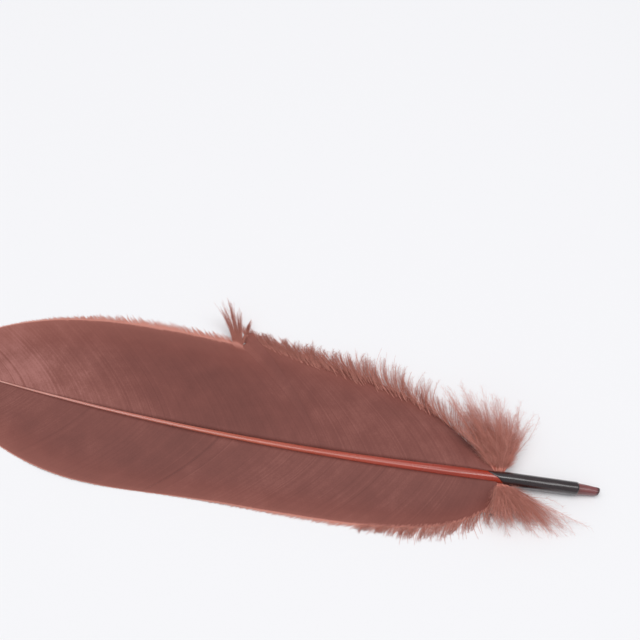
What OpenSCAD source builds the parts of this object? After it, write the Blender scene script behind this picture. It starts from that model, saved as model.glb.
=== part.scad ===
// A goose flight feather, the uncut quill that pens are made from, lying on its hollow side.
// X runs along the feather with the root end at +X. The wide vane is at +Y and the narrow vane at -Y.
// Z is up and 0 is the surface it lies on. Every place is found from t, the distance from the root end.

/* [Feather] */
// Length along X, root end to vane tip
feather_l = 178; // [170:1:186]
// Reach of the wide vane from the shaft
wide_reach = 29.8; // [28:0.2:31]
// Reach of the narrow vane from the shaft, before it swells towards the tip
narrow_reach = 16.2; // [15:0.2:17]
// Thickness of a vane where its barbs are hooked together
vane_th = 0.3; // [0.26:0.02:0.36]

/* [Barrel] */
// Root end to the first barbs
barrel_l = 28; // [27:0.5:29]
// Diameter of the barrel over its dark skin
barrel_d = 3.6; // [3.4:0.1:3.8]
// Bare root below the step where the skin ends
bare_root_l = 6; // [5:0.5:7]
// Length of the barrel's round, parallel stretch
parallel_l = 18; // [16:0.5:19]
// Thickness of the horn wall
horn_wall = 0.4; // [0.3:0.05:0.5]
// Thickness of the dark skin
skin_th = 0.2; // [0.18:0.01:0.22]
// Diameter of the natural hole in the root end
root_hole_d = 1; // [0.8:0.1:1.2]

/* [Curve] */
// Rise of the barrel for each millimetre towards the vanes
barrel_rise = 0.1; // [0.095:0.005:0.105]
// How much of that rise is lost in the bend at the first barbs
neck_bend = 0.085; // [0.08:0.005:0.085]
// Height of the centreline at the tip
tip_z = 2.2; // [2:0.1:2.6]
// How strongly the shaft sweeps towards the wide vane, 1/mm
sweep = 0.0008; // [0.00075:0.00005:0.00085]

/* [Barbs] */
// Locks of hooked barbs in the wide vane
wide_locks = 10; // [10]
// Locks of hooked barbs in the narrow vane
narrow_locks = 9; // [9]
// How far a barb's end lies ahead of its foot, along the shaft
barb_lead = 26; // [22:1:28]
// Free space between the shaft and a vane that flexes
flex_gap = 0.5; // [0.45:0.05:0.6]

/* [Hidden] */
$fn = 64;
WIDE = 1;
NARROW = -1;
wide_foot = 28.4;        // t of the wide vane's first hooked barb
narrow_foot = 27.7;      // t of the narrow vane's first hooked barb
vane_top = 168;          // t of the last hooked barb
shaft_end = 172;         // t where the shaft runs out
pith_end = 150;          // t where the shaft becomes solid horn
parting = 101;           // t where the wide vane's edge has come apart
step_out = 3.8;          // how far its edge stands out there
loose_foot = 74.5;       // t of the loose lock's first barb
loose_width = 2.6;       // its width along the shaft
loose_rise = 10;         // how far its end stands above the vane's edge
lock_space = 0.1;        // parting between neighbouring locks, along the shaft
rim_z = vane_th / 2 + 0.02;
root_z = barrel_d / 2 + 0.02 - barrel_rise * bare_root_l;
root_y = -3.4;
bend_l = 9;              // length over which the neck bends
past_l = feather_l - barrel_l;
arch = (root_z + barrel_rise * feather_l - neck_bend * bent(past_l) - tip_z) / pow(past_l, 2);
sweep_slope = sweep * pow(past_l, 2) / feather_l;
barrel_r = barrel_d / 2 - skin_th - 0.01;
bore_r = barrel_r - horn_wall;
neck_r = 1.46;           // barrel radius where the shaft takes over
root_r = 1.02;           // radius of the root end

horn_red = "#b4452f";
horn_pale = "#c8705a";
skin_dark = "#33272c";
pith_cream = "#e6cdbb";
cap_tan = "#b98a72";
vane_rose = "#8d5f5b";
vane_rose_2 = "#85564f";
down_pink = "#b27a70";

// ---- the shaft's centreline

function past_barrel(t) = max(0, t - barrel_l);
function bent(past) = past - bend_l * (1 - exp(-past / bend_l));

function spine(t) = [
    feather_l / 2 - t,
    root_y - sweep_slope * t + sweep * pow(past_barrel(t), 2),
    root_z + barrel_rise * t - neck_bend * bent(past_barrel(t)) - arch * pow(past_barrel(t), 2)];

// Towards the tip, along the centreline
function heading(t) = unit([
    -1,
    -sweep_slope + 2 * sweep * past_barrel(t),
    barrel_rise - neck_bend * (1 - exp(-past_barrel(t) / bend_l)) - 2 * arch * past_barrel(t)]);

// Level, square to the centreline, towards the wide vane
function outward(t) = unit([-sweep_slope + 2 * sweep * past_barrel(t), 1, 0]);

// Square to both, on the arched side of the feather
function dorsal(t) = cross(outward(t), heading(t));

function unit(v) = v / norm(v);
function mix(a, b, f) = a + (b - a) * f;

// Half of the shaft's width, which tapers to a hair at its end
function shaft_half(t) =
    0.15 + 1.31 * pow(max(0, 1 - (t - barrel_l) / (shaft_end + 2 - barrel_l)), 1.25);

// ---- the outline of the two vanes, as the reach from the centreline

function tip_fall(t, from, power, round) =
    pow(max(0, 1 - pow(max(0, t - from) / (feather_l - from), power)), round);

// The wide vane reaches further on the root side of the loose lock, where its edge has come apart
function reach(side, t) = side == WIDE
    ? (wide_reach * (1 - exp(-(t - 26.5) / 19)) + step_out * (t < parting ? exp((t - parting) / 14) : 0))
        * tip_fall(t, 110, 2.2, 0.46)
    : (narrow_reach * (1 - exp(-(t - 22.5) / 11)) + 3.4 * exp(-pow((t - 137) / 28, 2)))
        * tip_fall(t, 125, 2.6, 0.6);

// How far the end of the barb that stands at t lies ahead of its foot. The first narrow ones lean back.
function lead(side, t) =
    (side == WIDE
        ? barb_lead * (1 - exp(-(t - 27.5) / 12)) + 1
        : 0.72 * barb_lead * (1 - exp(-(t - 27) / 12)) - 2.5)
    * (1 - 0.8 * pow(max(0, t - 120) / 53, 2.2));

// A point at v of the way (0 to 1) along the barb that stands at t, raised by up
function barb_point(side, t, v, up) =
    let (
        end_t = min(feather_l, t + lead(side, t)),
        at_t = mix(t, end_t, 0.55 * v + 0.45 * v * v),
        foot_q = shaft_half(t) + flex_gap,
        q = mix(foot_q, max(foot_q, reach(side, end_t)), v),
        top = spine(at_t)[2] + 0.3 * shaft_half(t),
        rim = max(rim_z, spine(end_t)[2] - 0.35 * reach(side, end_t)),
        z = mix(top, rim, pow(v, 1.7))
    )
    let (c = spine(at_t), o = outward(at_t))
    [c[0] + side * q * o[0], c[1] + side * q * o[1], z + up];

// ---- closed solids from rings of points

function turned(rings, flip) = flip
    ? [for (ring = rings) [for (i = [len(ring) - 1:-1:0]) ring[i]]]
    : rings;

// Rings are joined by triangles. An end ring is closed by a strip from its first half to its second.
module skin(rings) {
    n = len(rings[0]);
    half = n / 2;
    last = (len(rings) - 1) * n;
    walls = [for (r = [0:len(rings) - 2]) for (i = [0:n - 1])
        let (a = r * n + i, b = r * n + (i + 1) % n)
        each [[a, b, b + n], [a, b + n, a + n]]];
    near_end = [for (i = [0:half - 2])
        each [[i + 1, i, n - 1 - i], [i + 1, n - 1 - i, n - 2 - i]]];
    far_end = [for (f = near_end) [last + f[0], last + f[2], last + f[1]]];
    polyhedron(points = [for (ring = rings) each ring], faces = concat(walls, near_end, far_end));
}

// Places a shape that is turned about Z so that it stands on the barrel's axis with z = t
module on_barrel() {
    d = heading(0);
    translate(spine(0))
        rotate([0, acos(d[2]), atan2(d[1], d[0])])
            children();
}

// Length along the barrel's axis of a distance t along X
function axial(t) = t / -heading(0)[0];

// ---- barrel

module barrel() color(horn_pale)
    on_barrel()
        rotate_extrude()
            polygon([
                [root_hole_d / 2, 0],
                [root_r, 0],
                [root_r + 0.22, 0.5],
                [barrel_r - 0.12, axial(bare_root_l) - 0.4],
                [barrel_r, axial(bare_root_l)],
                [barrel_r, axial(bare_root_l + parallel_l)],
                [neck_r - 0.01, axial(barrel_l)],
                [neck_r - horn_wall, axial(barrel_l)],
                [bore_r, axial(bare_root_l + parallel_l)],
                [bore_r, axial(bare_root_l)],
                [root_hole_d / 2, axial(2)]]);

module barrel_skin() color(skin_dark)
    on_barrel()
        rotate_extrude()
            polygon([
                [barrel_r + 0.01, axial(bare_root_l)],
                [barrel_d / 2, axial(bare_root_l)],
                [barrel_d / 2, axial(bare_root_l + parallel_l)],
                [neck_r + 0.06, axial(barrel_l)],
                [neck_r, axial(barrel_l)],
                [barrel_r + 0.01, axial(bare_root_l + parallel_l)]]);

// A dried cup of pulp: a thin dome that fills the bore, with its hollow towards the root
module pulp_cap(number) color(cap_tan)
    on_barrel()
        translate([0, 0, axial(bare_root_l + 2.6 + (number - 1) * 3.4)])
            rotate_extrude() {
                rim = bore_r - 0.02;
                dome = 1.5;
                film = 0.12;
                polygon(concat(
                    [for (a = [0:15:90]) [rim * cos(a), dome * sin(a)]],
                    [for (a = [90:-15:0]) [(rim - film) * cos(a), (dome - film) * sin(a)]]));
            }

module upper_plug() color(cap_tan)
    on_barrel()
        translate([0, 0, axial(barrel_l)])
            rotate_extrude()
                polygon([[0, -3.2], [0.5, -2.6], [0.96, -0.8], [1.0, 0], [0, 0]]);

// ---- shaft

ring_points = 20;
groove_depth = 0.3;

// A ring across the shaft at t. size is its share of the full section, groove that of the groove.
function shaft_ring(t, size, groove) = [
    for (i = [0:ring_points - 1])
        let (
            angle = 90 + 360 * i / ring_points,
            half = shaft_half(t) * size,
            squarish = 1 / pow(pow(abs(cos(angle)), 2.6) + pow(abs(sin(angle)), 2.6), 1 / 2.6),
            notch = i == ring_points / 2 ? 1 - groove_depth * groove : 1
        )
        spine(t) + half * squarish * notch * (cos(angle) * outward(t) + sin(angle) * dorsal(t))];

function shaft_wall(t) = mix(0.7, 0.5, (t - barrel_l) / (pith_end - barrel_l));

module shaft_shell() color(horn_red) {
    steps = 24;
    outer = [for (i = [0:steps]) shaft_ring(mix(barrel_l, shaft_end, i / steps), 1, 1)];
    inner_steps = 18;
    inner = [for (i = [0:inner_steps])
        let (t = mix(pith_end, barrel_l, i / inner_steps))
        shaft_ring(t, shaft_wall(t), 0)];
    // the rings run from the end of the hollow back to its mouth, then along the outside to the tip
    skin(concat(inner, outer));
}

module shaft_pith() color(pith_cream) {
    steps = 18;
    skin([for (i = [0:steps])
        let (t = mix(barrel_l + 0.3, pith_end - 0.4, i / steps))
        shaft_ring(t, shaft_wall(t) - 0.04, 0)]);
}

// ---- vanes

barbs_across = 10;       // ridges along the width of one lock
barb_rows = [0, 0.1, 0.25, 0.4, 0.55, 0.7, 0.85, 1];

// One lock of hooked barbs between foot and top, as a thin cambered sheet with a ridge for each group of barbs
module lock(side, foot, top) {
    ridge = 0.05;
    ragged = 0.025;
    function at(i) = mix(foot + lock_space / 2, top - lock_space / 2, i / barbs_across);
    function edge(v, i) = v == 1 && i % 2 == 1 ? 1 - ragged : v;
    rings = [for (v = barb_rows) concat(
        [for (i = [0:barbs_across])
            barb_point(side, at(i), edge(v, i), vane_th / 2 + (i % 2 == 0 ? ridge : 0))],
        [for (i = [barbs_across:-1:0])
            barb_point(side, at(i), edge(v, i), -vane_th / 2)])];
    skin(turned(rings, side == WIDE));
}

// Where the lock with this number starts. Locks take longer stretches where the barbs are longest.
function lock_foot(side, number) =
    let (f = number / (side == WIDE ? wide_locks : narrow_locks))
    mix(side == WIDE ? wide_foot : narrow_foot, vane_top, f + 0.035 * sin(360 * f));

// The loose lock stands between this lock of the wide vane and the next
loose_after = 3;

module wide_barbs(number) color(number % 2 == 0 ? vane_rose : vane_rose_2)
    lock(WIDE,
        number == loose_after + 1 ? loose_foot + loose_width : lock_foot(WIDE, number - 1),
        number == loose_after ? loose_foot : lock_foot(WIDE, number));

// Hooked to its neighbours as far as the vane's edge, then free: it turns up and outwards, and narrows
module loose_lock() {
    columns = 6;
    rows = [0, 0.1, 0.25, 0.4, 0.55, 0.7, 0.85, 1, 1.15, 1.3, 1.5, 1.7, 1.85, 2];
    middle = loose_foot + loose_width / 2;
    function foot_at(i) = mix(loose_foot + lock_space / 2, loose_foot + loose_width - lock_space / 2, i / columns);
    function loose_point(s, i, up) = s <= 1
        ? barb_point(WIDE, foot_at(i), s, up)
        : let (
            free = s - 1,
            rim = barb_point(WIDE, mix(foot_at(i), middle, 0.75 * free), 1, up),
            tipward = 3.6 * free - 0.6 * free * free
        )
        rim + [-tipward, 7.6 * free, loose_rise * pow(free, 1.25)];
    rings = [for (s = rows) concat(
        [for (i = [0:columns]) loose_point(s, i, vane_th / 2)],
        [for (i = [columns:-1:0]) loose_point(s, i, -vane_th / 2)])];
    color(down_pink) skin(turned(rings, true));
}

module narrow_barbs(number) color(number % 2 == 0 ? vane_rose : vane_rose_2)
    lock(NARROW, lock_foot(NARROW, number - 1), lock_foot(NARROW, number));

// The last barbs, in a leaf between the two vanes, on the end of the shaft
module tip_barbs() {
    foot = vane_top + 2.4;
    across = [-1, -0.5, 0, 0.5, 1];
    function leaf_point(v, f, up) =
        let (
            side = f < 0 ? NARROW : WIDE,
            edge = barb_point(side, foot, v, up),
            middle = spine(mix(shaft_end + 0.4, feather_l, v)) + [0, 0, up - 0.4 * v]
        )
        mix(middle, [edge[0], edge[1], edge[2]], abs(f));
    rows = [0.3, 0.5, 0.7, 0.9, 1];
    color(vane_rose) skin([for (v = rows) concat(
        [for (f = across) leaf_point(v, f, -vane_th / 2)],
        [for (i = [len(across) - 1:-1:0]) leaf_point(v, across[i], vane_th / 2)])]);
}

// ---- down

// A fan of loose downy barbs: feet from foot to top, ends spread from spread[0] to spread[1] ahead of them
module down_fan(side, foot, top, length, spread, rise, puff) {
    columns = 6;
    fan_gap = 0.45;
    rows = [0, 0.2, 0.4, 0.6, 0.8, 1];
    function fan_point(v, u, up) =
        let (
            t = mix(foot, top, u),
            ahead = mix(spread[0], spread[1], u) * v,
            q = shaft_half(t) + flex_gap + fan_gap + length * v * (1 - 0.25 * pow(2 * u - 1, 2)),
            c = spine(t),
            o = outward(t),
            thick = (0.16 + puff * sin(180 * v * 0.85) * sin(180 * mix(0.12, 0.88, u)))
        )
        [c[0] - ahead + side * q * o[0], c[1] + side * q * o[1],
            max(0.02, c[2] + rise * pow(v, 1.2) + up * thick)];
    rings = [for (v = rows) concat(
        [for (i = [0:columns]) fan_point(v, i / columns, 1)],
        [for (i = [columns:-1:0]) fan_point(v, i / columns, -1)])];
    color(down_pink) skin(turned(rings, side == WIDE));
}

module wide_down(number) {
    foot = 25.7 + (number - 1) * 0.85;
    down_fan(WIDE, foot, foot + 0.75, [17, 20, 21][number - 1],
        [[-8, -2.8, 2][number - 1], [-3, 1.8, 6.4][number - 1]],
        [3, 4.5, 3.5][number - 1], 0.7);
}

module narrow_down(number) {
    foot = 25.1 + (number - 1) * 0.85;
    down_fan(NARROW, foot, foot + 0.75, [9, 11, 12][number - 1],
        [[-9, -5.8, -3.4][number - 1], [-6, -3.6, -2.6][number - 1]],
        [-2.2, -2.2, -2][number - 1], 0.6);
}

module after_tuft() color(down_pink) {
    sides = 10;
    rows = [0, 0.15, 0.35, 0.6, 0.85, 1];
    skin([for (v = rows)
        let (t = mix(barrel_l + 0.6, barrel_l + 11, v), r = 0.12 + 0.75 * sin(180 * pow(v, 0.8)))
        [for (i = [0:sides - 1])
            let (angle = 360 * i / sides)
            spine(t) + dorsal(t) * (-shaft_half(t) - 1.05 + r * sin(angle))
                + outward(t) * r * cos(angle)]]);
}

barrel();
barrel_skin();
pulp_cap(1);  // pulp_cap_1
pulp_cap(2);  // pulp_cap_2
pulp_cap(3);  // pulp_cap_3
pulp_cap(4);  // pulp_cap_4
pulp_cap(5);  // pulp_cap_5
upper_plug();
shaft_shell();
shaft_pith();
tip_barbs();
after_tuft();
wide_barbs(1);  // wide_barbs_1
wide_barbs(2);  // wide_barbs_2
wide_barbs(3);  // wide_barbs_3
wide_barbs(4);  // wide_barbs_4
wide_barbs(5);  // wide_barbs_5
wide_barbs(6);  // wide_barbs_6
wide_barbs(7);  // wide_barbs_7
wide_barbs(8);  // wide_barbs_8
wide_barbs(9);  // wide_barbs_9
wide_barbs(10);  // wide_barbs_10
loose_lock();
wide_down(1);  // wide_down_1
wide_down(2);  // wide_down_2
wide_down(3);  // wide_down_3
narrow_barbs(1);  // narrow_barbs_1
narrow_barbs(2);  // narrow_barbs_2
narrow_barbs(3);  // narrow_barbs_3
narrow_barbs(4);  // narrow_barbs_4
narrow_barbs(5);  // narrow_barbs_5
narrow_barbs(6);  // narrow_barbs_6
narrow_barbs(7);  // narrow_barbs_7
narrow_barbs(8);  // narrow_barbs_8
narrow_barbs(9);  // narrow_barbs_9
narrow_down(1);  // narrow_down_1
narrow_down(2);  // narrow_down_2
narrow_down(3);  // narrow_down_3
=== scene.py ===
"""A dyed goose feather of the kind a quill pen is cut from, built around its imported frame."""

import logging
import math
from dataclasses import dataclass
from enum import Enum
from typing import Sequence

import bpy
import numpy as np
from bpy.types import Material, Node, NodeSocket, NodeTree, Object
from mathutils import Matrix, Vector


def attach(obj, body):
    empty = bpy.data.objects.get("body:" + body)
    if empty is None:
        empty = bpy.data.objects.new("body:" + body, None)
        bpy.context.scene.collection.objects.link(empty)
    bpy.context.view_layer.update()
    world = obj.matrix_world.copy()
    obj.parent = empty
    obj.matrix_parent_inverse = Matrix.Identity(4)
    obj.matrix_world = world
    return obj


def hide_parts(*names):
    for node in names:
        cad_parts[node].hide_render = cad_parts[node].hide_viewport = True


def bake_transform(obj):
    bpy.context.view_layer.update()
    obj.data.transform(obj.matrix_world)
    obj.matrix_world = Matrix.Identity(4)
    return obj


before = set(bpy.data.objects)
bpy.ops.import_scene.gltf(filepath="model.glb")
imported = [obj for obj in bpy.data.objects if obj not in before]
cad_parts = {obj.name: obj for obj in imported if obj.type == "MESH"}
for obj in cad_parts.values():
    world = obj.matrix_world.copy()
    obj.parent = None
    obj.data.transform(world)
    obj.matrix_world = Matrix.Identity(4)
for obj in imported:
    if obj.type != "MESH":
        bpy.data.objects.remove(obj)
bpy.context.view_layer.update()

LOG = logging.getLogger("feather")
MM = 0.001
SEED = 4177
# the least height of a strand's centre over the table that the feather lies on, in millimetres
TABLE_GAP = 0.03
# half the width of a loose barb at its foot, in millimetres
BARB_HALF = 0.07


# ---- small helpers


def srgb(code: str) -> tuple[float, float, float, float]:
    """Turns an sRGB hex colour into the linear colour that a shader takes.

    Args:
        code: Six hex digits, with or without a leading #.

    Returns:
        Linear red, green and blue, and an alpha of 1.
    """
    digits = code.lstrip("#")
    parts = [int(digits[i:i + 2], 16) / 255 for i in (0, 2, 4)]
    linear = [c / 12.92 if c <= 0.04045 else ((c + 0.055) / 1.055) ** 2.4 for c in parts]
    return (linear[0], linear[1], linear[2], 1.0)


def unit(v: np.ndarray) -> np.ndarray:
    """Scales vectors along the last axis to length 1."""
    return v / np.maximum(np.linalg.norm(v, axis=-1, keepdims=True), 1e-9)


def mix(a: np.ndarray | float, b: np.ndarray | float, f: np.ndarray | float) -> np.ndarray | float:
    """Blends a into b as f goes from 0 to 1."""
    return a + (b - a) * f


def ease(x: np.ndarray | float) -> np.ndarray:
    """A smooth step from 0 to 1 over the same range."""
    x = np.clip(x, 0.0, 1.0)
    return x * x * (3 - 2 * x)


class Side(Enum):
    """The two vanes, as the sign of their direction from the shaft."""

    WIDE = 1
    NARROW = -1

    @property
    def body(self) -> str:
        """The frame's body that carries this vane."""
        return "wide_vane" if self is Side.WIDE else "narrow_vane"


# ---- the feather's own curves, in millimetres


@dataclass(frozen=True)
class FeatherLine:
    """The shaft's centreline and the vanes' outlines. t is the distance from the root end."""

    length: float = 178.0
    barrel_l: float = 28.0
    root_y: float = -3.4
    root_z: float = 1.22
    rise: float = 0.1
    bend: float = 0.085
    bend_l: float = 9.0
    sweep: float = 0.0008
    tip_z: float = 2.2
    wide_reach: float = 29.8
    narrow_reach: float = 16.2
    step_out: float = 3.8
    parting: float = 101.0
    barb_lead: float = 26.0
    foot_in: float = 0.1
    rim_z: float = 0.17
    vane_top: float = 168.0
    shaft_end: float = 172.0

    @property
    def arch(self) -> float:
        """How fast the shaft's rise falls off towards the tip."""
        run = self.length - self.barrel_l
        eased = run - self.bend_l * (1 - math.exp(-run / self.bend_l))
        return (self.root_z + self.rise * self.length - self.bend * eased - self.tip_z) / run**2

    @property
    def sweep_slope(self) -> float:
        """The shaft's sideways slope at the root."""
        return self.sweep * (self.length - self.barrel_l) ** 2 / self.length

    def spine(self, t: np.ndarray) -> np.ndarray:
        """Points of the centreline at t."""
        t = np.asarray(t, float)
        p = np.maximum(0.0, t - self.barrel_l)
        bent = p - self.bend_l * (1 - np.exp(-p / self.bend_l))
        return np.stack([
            self.length / 2 - t,
            self.root_y - self.sweep_slope * t + self.sweep * p**2,
            self.root_z + self.rise * t - self.bend * bent - self.arch * p**2], -1)

    def heading(self, t: np.ndarray) -> np.ndarray:
        """Directions along the centreline, towards the tip."""
        t = np.asarray(t, float)
        p = np.maximum(0.0, t - self.barrel_l)
        return unit(np.stack([
            -np.ones_like(t),
            -self.sweep_slope + 2 * self.sweep * p,
            self.rise - self.bend * (1 - np.exp(-p / self.bend_l)) - 2 * self.arch * p], -1))

    def outward(self, t: np.ndarray) -> np.ndarray:
        """Level directions square to the centreline, towards the wide vane."""
        t = np.asarray(t, float)
        p = np.maximum(0.0, t - self.barrel_l)
        return unit(np.stack([
            -self.sweep_slope + 2 * self.sweep * p, np.ones_like(t), np.zeros_like(t)], -1))

    def dorsal(self, t: np.ndarray) -> np.ndarray:
        """Directions square to the other two, on the arched side."""
        return np.cross(self.outward(t), self.heading(t))

    def shaft_half(self, t: np.ndarray) -> np.ndarray:
        """Half of the shaft's width at t."""
        t = np.asarray(t, float)
        return 0.15 + 1.31 * np.maximum(0.0, 1 - (t - self.barrel_l) / 146.0) ** 1.25

    def _tip_fall(self, t: np.ndarray, start: float, power: float, rounding: float) -> np.ndarray:
        """The share of its reach that a vane keeps near the tip."""
        x = np.maximum(0.0, t - start) / (self.length - start)
        return np.maximum(0.0, 1 - x**power) ** rounding

    def reach(self, side: Side, t: np.ndarray) -> np.ndarray:
        """How far the vane's hooked edge stands from the centreline at t."""
        t = np.asarray(t, float)
        if side is Side.WIDE:
            full = self.wide_reach * (1 - np.exp(-(t - 26.5) / 19))
            step = np.where(t < self.parting, self.step_out * np.exp(np.minimum(0.0, t - self.parting) / 14), 0.0)
            return (full + step) * self._tip_fall(t, 110, 2.2, 0.46)
        full = self.narrow_reach * (1 - np.exp(-(t - 22.5) / 11)) + 3.4 * np.exp(-((t - 137) / 28) ** 2)
        return full * self._tip_fall(t, 125, 2.6, 0.6)

    def lead(self, side: Side, t: np.ndarray) -> np.ndarray:
        """How far a barb's end lies ahead of its foot at t."""
        t = np.asarray(t, float)
        if side is Side.WIDE:
            full = self.barb_lead * (1 - np.exp(-(t - 27.5) / 12)) + 1
        else:
            full = 0.72 * self.barb_lead * (1 - np.exp(-(t - 27) / 12)) - 2.5
        return full * (1 - 0.8 * (np.maximum(0.0, t - 120) / 53) ** 2.2)

    def barb(self, side: Side, t: np.ndarray, v: np.ndarray) -> np.ndarray:
        """Points on the vane.

        Args:
            side: Which vane.
            t: Where the barb's foot stands.
            v: The way along the barb, from 0 at the foot to 1 at the hooked edge.

        Returns:
            Points, with the shape of t and v together and a last axis of 3.
        """
        end_t = np.minimum(self.length, t + self.lead(side, t))
        at_t = mix(t, end_t, 0.55 * v + 0.45 * v * v)
        foot_q = self.shaft_half(t) * 0.97 - self.foot_in
        reach = self.reach(side, end_t)
        q = mix(foot_q, np.maximum(foot_q, reach), v)
        top = self.spine(at_t)[..., 2] + 0.3 * self.shaft_half(t)
        rim = np.maximum(self.rim_z, self.spine(end_t)[..., 2] - 0.35 * reach)
        z = mix(top, rim, v**1.7)
        point = self.spine(at_t) + side.value * q[..., None] * self.outward(at_t)
        point[..., 2] = z
        return point

    def lock_foot(self, side: Side, number: int) -> float:
        """Where the lock with this number starts."""
        f = number / (10 if side is Side.WIDE else 9)
        start = 28.4 if side is Side.WIDE else 27.7
        return float(mix(start, self.vane_top, f + 0.035 * math.sin(2 * math.pi * f)))


LINE = FeatherLine()
# where the barbs of the loose lock stand on the shaft, in millimetres from the root end
LOOSE_STRETCH = (74.5, 77.1)


# ---- mesh builders


def new_object(name: str, points: np.ndarray, faces: list[list[int]],
               material: Material) -> Object:
    """Makes a smooth-shaded mesh object.

    Args:
        name: The object's name.
        points: Vertices, in millimetres.
        faces: Vertex numbers of each face.
        material: The finish of the whole piece.

    Returns:
        The object, linked to the scene.
    """
    mesh = bpy.data.meshes.new(name)
    mesh.from_pydata((points * MM).tolist(), [], faces)
    mesh.update()
    mesh.shade_smooth()
    mesh.materials.append(material)
    obj = bpy.data.objects.new(name, mesh)
    bpy.context.scene.collection.objects.link(obj)
    return obj


def put_attribute(obj: Object, name: str, values: np.ndarray) -> None:
    """Stores one number or one vector for each vertex, for the finish to read."""
    kind, key = ("FLOAT_VECTOR", "vector") if values.ndim == 2 else ("FLOAT", "value")
    attribute = obj.data.attributes.new(name, kind, "POINT")
    attribute.data.foreach_set(key, values.astype(np.float32).ravel())


def tube_faces(strands: int, rings: int, sides: int, first: int = 0) -> list[list[int]]:
    """Faces of closed tubes whose rings follow one another.

    Args:
        strands: Number of tubes.
        rings: Rings in each tube.
        sides: Points in each ring.
        first: Number of the first vertex.

    Returns:
        Quads along the walls, and a cap on each end.
    """
    s, r, k = np.meshgrid(np.arange(strands), np.arange(rings - 1), np.arange(sides), indexing="ij")
    base = first + (s * rings + r) * sides
    a, b = base + k, base + (k + 1) % sides
    walls = np.stack([a, b, b + sides, a + sides], -1).reshape(-1, 4).tolist()
    start = first + np.arange(strands)[:, None] * rings * sides
    near = (start + np.arange(sides)[::-1]).tolist()
    far = (start + (rings - 1) * sides + np.arange(sides)).tolist()
    return walls + near + far


def loft(name: str, rings: np.ndarray, lay: np.ndarray, material: Material,
         closed_loop: bool = False) -> Object:
    """Skins rings of points into one closed solid.

    Args:
        name: The object's name.
        rings: Ring points, shaped (rings, points in a ring, 3), in millimetres.
        lay: For each point, its distance along and its place across, which the finish reads.
        material: The finish.
        closed_loop: True where the last ring joins the first, as on a sleeve with a hole.

    Returns:
        The object.
    """
    count, sides = rings.shape[:2]
    faces = tube_faces(1, count, sides)
    if closed_loop:
        k = np.arange(sides)
        last = (count - 1) * sides
        join = np.stack([last + k, last + (k + 1) % sides, (k + 1) % sides, k], -1).tolist()
        faces = faces[:-2] + join
    obj = new_object(name, rings.reshape(-1, 3), faces, material)
    put_attribute(obj, "lay", lay.reshape(-1, 3))
    return obj


class StrandMesh:
    """Closed, tapering strands gathered into one piece."""

    def __init__(self) -> None:
        """Starts with no strands."""
        self._points: list[np.ndarray] = []
        self._faces: list[list[int]] = []
        self._tint: list[np.ndarray] = []
        self._rim: list[np.ndarray] = []
        self._total = 0
        self._flat_total = 0

    def add(self, path: np.ndarray, across: np.ndarray, half_w: np.ndarray, half_h: np.ndarray,
            tint: np.ndarray, rim: np.ndarray, sides: int = 4) -> None:
        """Adds strands that all have the same number of rings.

        Args:
            path: Centre points, shaped (strands, rings, 3), in millimetres.
            across: The direction of each ring's width, or one that serves several.
            half_w: Half width of each ring, or of one strand's rings where all are alike.
            half_h: Half thickness, in the same way.
            tint: One shade number for each strand, from 0 to 1.
            rim: For each ring, 1 at a loose end and 0 in the hooked web; the finishes paint high values paler, partly
                as painted light.
            sides: Corners of the section: 4 gives a ribbon with sharp edges, 3 a hair.
        """
        strands, rings = path.shape[:2]
        half_w, half_h, rim = (np.broadcast_to(value, (strands, rings)) for value in (half_w, half_h, rim))
        path = np.concatenate([path[..., :2], np.maximum(path[..., 2:], TABLE_GAP)], -1)
        tangent = unit(np.gradient(path, axis=1))
        flat = unit(across - (across * tangent).sum(-1, keepdims=True) * tangent)
        normal = np.cross(tangent, flat)
        angle = 2 * math.pi * np.arange(sides) / sides
        wide = (half_w[..., None] * np.cos(angle))[..., None] * flat[:, :, None]
        high = (half_h[..., None] * np.sin(angle))[..., None] * normal[:, :, None]
        points = (path[:, :, None] + wide + high).reshape(-1, 3)
        self._faces += tube_faces(strands, rings, sides, self._total)
        self._points.append(points)
        self._tint.append(np.repeat(tint, rings * sides))
        self._rim.append(np.repeat(rim.reshape(-1), sides))
        self._total += len(points)
        if sides == 4:
            self._flat_total = self._total

    def add_barbules(self, path: np.ndarray, rng: np.random.Generator, start: float, per_strand: int,
                     length: float, half: float, tint: np.ndarray, rim: float) -> None:
        """Adds side hairs to downy barbs, in each barb's own shade; the other arguments are those of barbules."""
        hair, side, width, owner = barbules(path, rng, start, per_strand, length, half)
        self.add(hair, side, width, width, tint[owner], rim, sides=3)

    def build(self, name: str, material: Material) -> Object:
        """Makes the piece.

        Args:
            name: The object's name.
            material: The finish.

        Returns:
            The object, with the attributes tint and rim, and sharp edges along its ribbons.
        """
        obj = new_object(name, np.concatenate(self._points), self._faces, material)
        put_attribute(obj, "tint", np.concatenate(self._tint))
        put_attribute(obj, "rim", np.concatenate(self._rim))
        ends = np.empty(len(obj.data.edges) * 2, np.int32)
        obj.data.edges.foreach_get("vertices", ends)
        low, high = ends.reshape(-1, 2).min(1), ends.reshape(-1, 2).max(1)
        sharp = (high < self._flat_total) & (high - low == 4) & (low % 2 == 0)
        attribute = obj.data.attributes.new("sharp_edge", "BOOLEAN", "EDGE")
        attribute.data.foreach_set("value", sharp)
        return obj


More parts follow.
